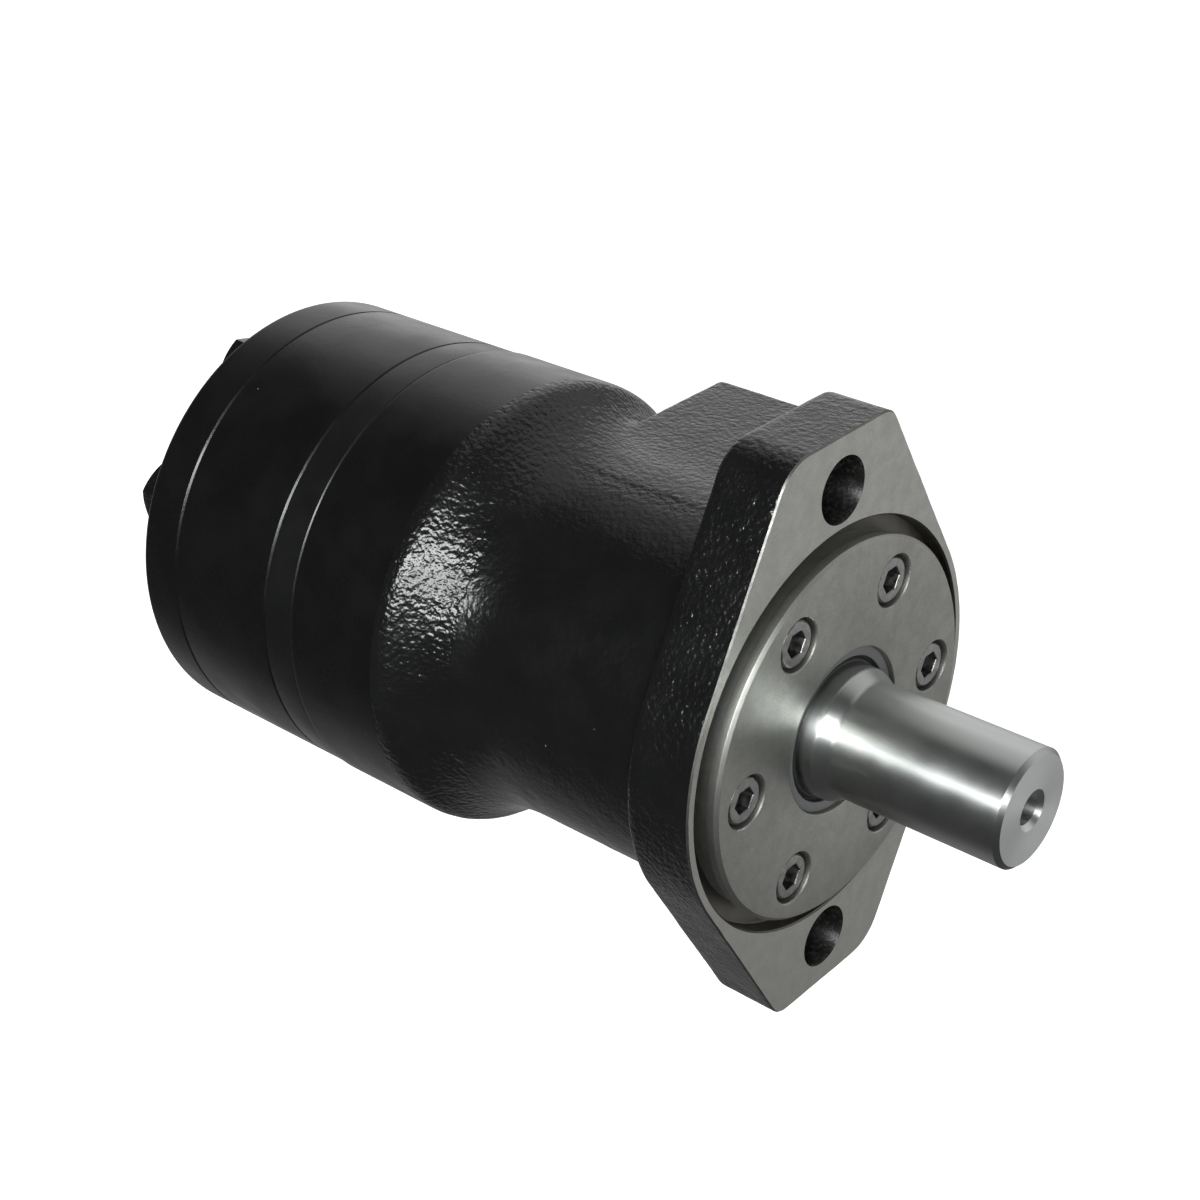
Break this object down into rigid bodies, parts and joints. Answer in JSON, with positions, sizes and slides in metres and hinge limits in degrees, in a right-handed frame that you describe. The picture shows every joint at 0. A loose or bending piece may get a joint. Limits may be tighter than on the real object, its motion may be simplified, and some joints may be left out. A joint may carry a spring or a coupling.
{
  "type": "hydraulic motor",
  "caption": "Orbital hydraulic motor: round black body with two-bolt mounting flange, bare steel front cover, straight shaft and side oil ports.",
  "frame": {"origin": "centre of the mounting flange's face, on the shaft's axis", "axes": "+X out along the shaft, +Z along the flange's long axis through its two bolt holes, +Y out of the oil ports"},
  "size_m": [0.2088, 0.1026, 0.13],
  "materials": {
    "black_casting": "gloss black paint over a cast surface",
    "black_disc": "satin black paint over a turned surface",
    "machined_iron": "fine machined, bare",
    "shaft_steel": "ground steel",
    "screw_steel": "dark oiled steel",
    "bolt_black": "gloss black paint over steel",
    "bearing_steel": "hardened, ground",
    "gear_steel": "hardened, ground",
    "grey_seal": "matt grey rubber",
    "rubber": "matt black rubber",
    "plug_zinc": "zinc plated",
    "soft_metal": "soft copper"
  },
  "bodies": {
    "casing": {"distributor_plate": "black_disc", "drain_plug": "plug_zinc", "drain_plug_washer": "soft_metal", "dust_seal": "grey_seal", "end_cover": "black_disc", "end_cover_bolts": "bolt_black", "end_cover_o_ring": "rubber", "end_cover_washers": "bolt_black", "front_cover": "machined_iron", "front_cover_o_ring": "rubber", "front_cover_screws": "screw_steel", "gerotor_ring": "black_disc", "housing": "black_casting", "housing_o_ring": "rubber", "plate_o_ring": "rubber", "seal_backing_ring": "bearing_steel", "shaft_seal": "rubber", "thrust_washer_front": "bearing_steel"},
    "output": {"output_shaft": "shaft_steel", "thrust_washer_rear": "bearing_steel"},
    "bearing_cage": {"thrust_bearing_cage": "bearing_steel", "thrust_bearing_rollers": "bearing_steel"},
    "orbit": {"cardan_spacer": "gear_steel"},
    "star": {"gerotor_star": "gear_steel"},
    "cardan": {"cardan_shaft": "gear_steel"}
  },
  "joints": [
    {"name": "shaft_spin", "type": "hinge", "parent": "casing", "child": "output", "pos_m": [0, 0, 0], "axis": [1, 0, 0], "continuous": true},
    {"name": "cage_spin", "type": "hinge", "parent": "casing", "child": "bearing_cage", "pos_m": [-0.016, 0, 0], "axis": [1, 0, 0], "continuous": true},
    {"name": "star_orbit", "type": "hinge", "parent": "casing", "child": "orbit", "pos_m": [-0.1288, 0, 0], "axis": [1, 0, 0], "continuous": true},
    {"name": "star_spin", "type": "hinge", "parent": "orbit", "child": "star", "pos_m": [-0.1288, 0.00265, 0.0014], "axis": [1, 0, 0], "continuous": true},
    {"name": "cardan_spin", "type": "hinge", "parent": "orbit", "child": "cardan", "pos_m": [-0.052, 0, 0], "axis": [0.9992, -0.0345, -0.0182], "continuous": true}
  ],
  "couplings": [
    {"joint": "cage_spin", "follows": "shaft_spin", "ratio": 0.5},
    {"joint": "star_orbit", "follows": "shaft_spin", "ratio": -6},
    {"joint": "star_spin", "follows": "shaft_spin", "ratio": 7},
    {"joint": "cardan_spin", "follows": "shaft_spin", "ratio": 7}
  ]
}
